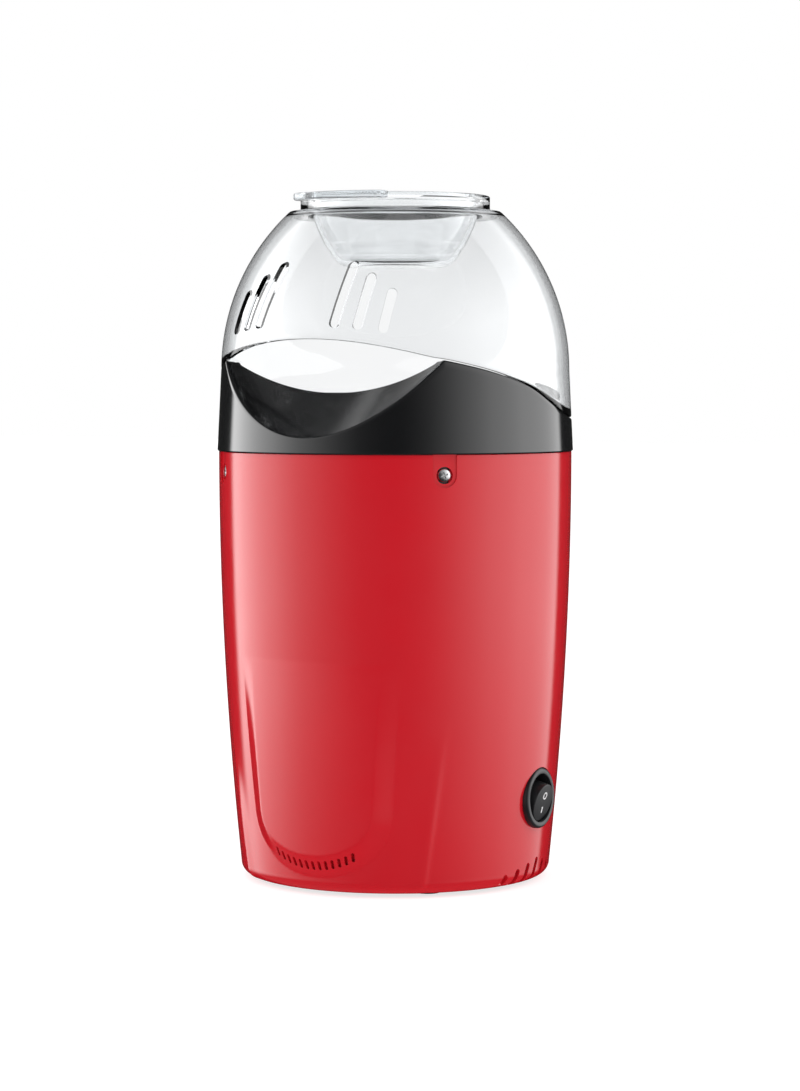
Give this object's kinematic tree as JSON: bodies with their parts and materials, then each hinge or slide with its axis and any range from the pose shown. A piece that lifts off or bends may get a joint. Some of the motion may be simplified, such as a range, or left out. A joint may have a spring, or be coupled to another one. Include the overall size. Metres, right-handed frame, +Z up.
{
  "type": "popcorn maker",
  "caption": "Tabletop hot-air popcorn maker: red barrel body, black chute collar, clear domed lid with a lift-out measuring cup, rocker switch, fan, motor and heater inside.",
  "frame": {"origin": "middle of the base, at the underside of the feet", "axes": "+Z up through the lid; the chute faces -Y; the power switch is on the +X side"},
  "size_m": [0.1526, 0.1526, 0.2915],
  "materials": {
    "red_body": "glossy moulded red",
    "black_gloss": "glossy moulded black",
    "black_matte": "fine-textured black",
    "clear_lid": "clear polycarbonate, slightly grey at its edges",
    "clear_cup": "clear polycarbonate",
    "chamber_metal": "drawn aluminium, faint turning lines",
    "sheet_metal": "plated sheet",
    "screw_metal": "bright zinc-plated screws",
    "mica": "pressed mica sheet",
    "coil_wire": "oxidised resistance wire",
    "cream_plastic": "heat-resistant cream moulding",
    "fan_plastic": "white nylon",
    "can_steel": "zinc-plated steel",
    "magnet": "sintered ferrite",
    "copper": "lacquered copper windings",
    "bronze": "sintered bronze",
    "carbon": "carbon",
    "board": "printed board",
    "ceramic": "white ceramic",
    "wire_insulation": "glass-fibre sleeve",
    "switch_plastic": "dark grey moulded",
    "mark_white": "printed white",
    "terminal_brass": "tinned brass",
    "foot_rubber": "matte"
  },
  "bodies": {
    "root": {"body_shell": "red_body", "chute_collar": "black_gloss", "collar_screws": "screw_metal", "popping_chamber": "chamber_metal", "chamber_screws": "screw_metal", "heater_drum": "sheet_metal", "heater_frame": "mica", "heater_coil": "coil_wire", "heat_shield": "sheet_metal", "fan_housing": "cream_plastic", "housing_screws": "screw_metal", "motor_can": "can_steel", "motor_end_cap": "black_matte", "motor_magnets": "magnet", "motor_brushes": "carbon", "motor_bearings": "bronze", "motor_mount": "sheet_metal", "motor_screws": "screw_metal", "rectifier_board": "board", "diodes": "carbon", "thermostat": "sheet_metal", "thermal_fuse": "ceramic", "terminal_block": "ceramic", "wiring": "wire_insulation", "switch_housing": "switch_plastic", "switch_terminals": "terminal_brass", "base_plate": "black_matte", "base_screws": "screw_metal", "feet": "foot_rubber", "cord_gland": "black_matte"},
    "lid": {"lid_dome": "clear_lid"},
    "cup": {"measuring_cup": "clear_cup"},
    "rocker": {"switch_rocker": "switch_plastic", "switch_marks": "mark_white"},
    "rotor": {"motor_shaft": "can_steel", "motor_armature": "copper", "motor_commutator": "copper", "impeller": "fan_plastic", "impeller_clip": "can_steel"}
  },
  "joints": [
    {"name": "lid_lift", "type": "slide", "parent": "root", "child": "lid", "axis": [0, 0, 1], "range_m": [0, 0.09]},
    {"name": "cup_lift", "type": "slide", "parent": "lid", "child": "cup", "axis": [0, 0, 1], "range_m": [0, 0.04]},
    {"name": "switch_rock", "type": "hinge", "parent": "root", "child": "rocker", "pos_m": [0.0641, 0, 0.0375], "axis": [0, -1, 0], "range_deg": [0, 30]},
    {"name": "fan_spin", "type": "hinge", "parent": "root", "child": "rotor", "pos_m": [0, 0, 0.06], "axis": [0, 0, 1], "continuous": true}
  ]
}
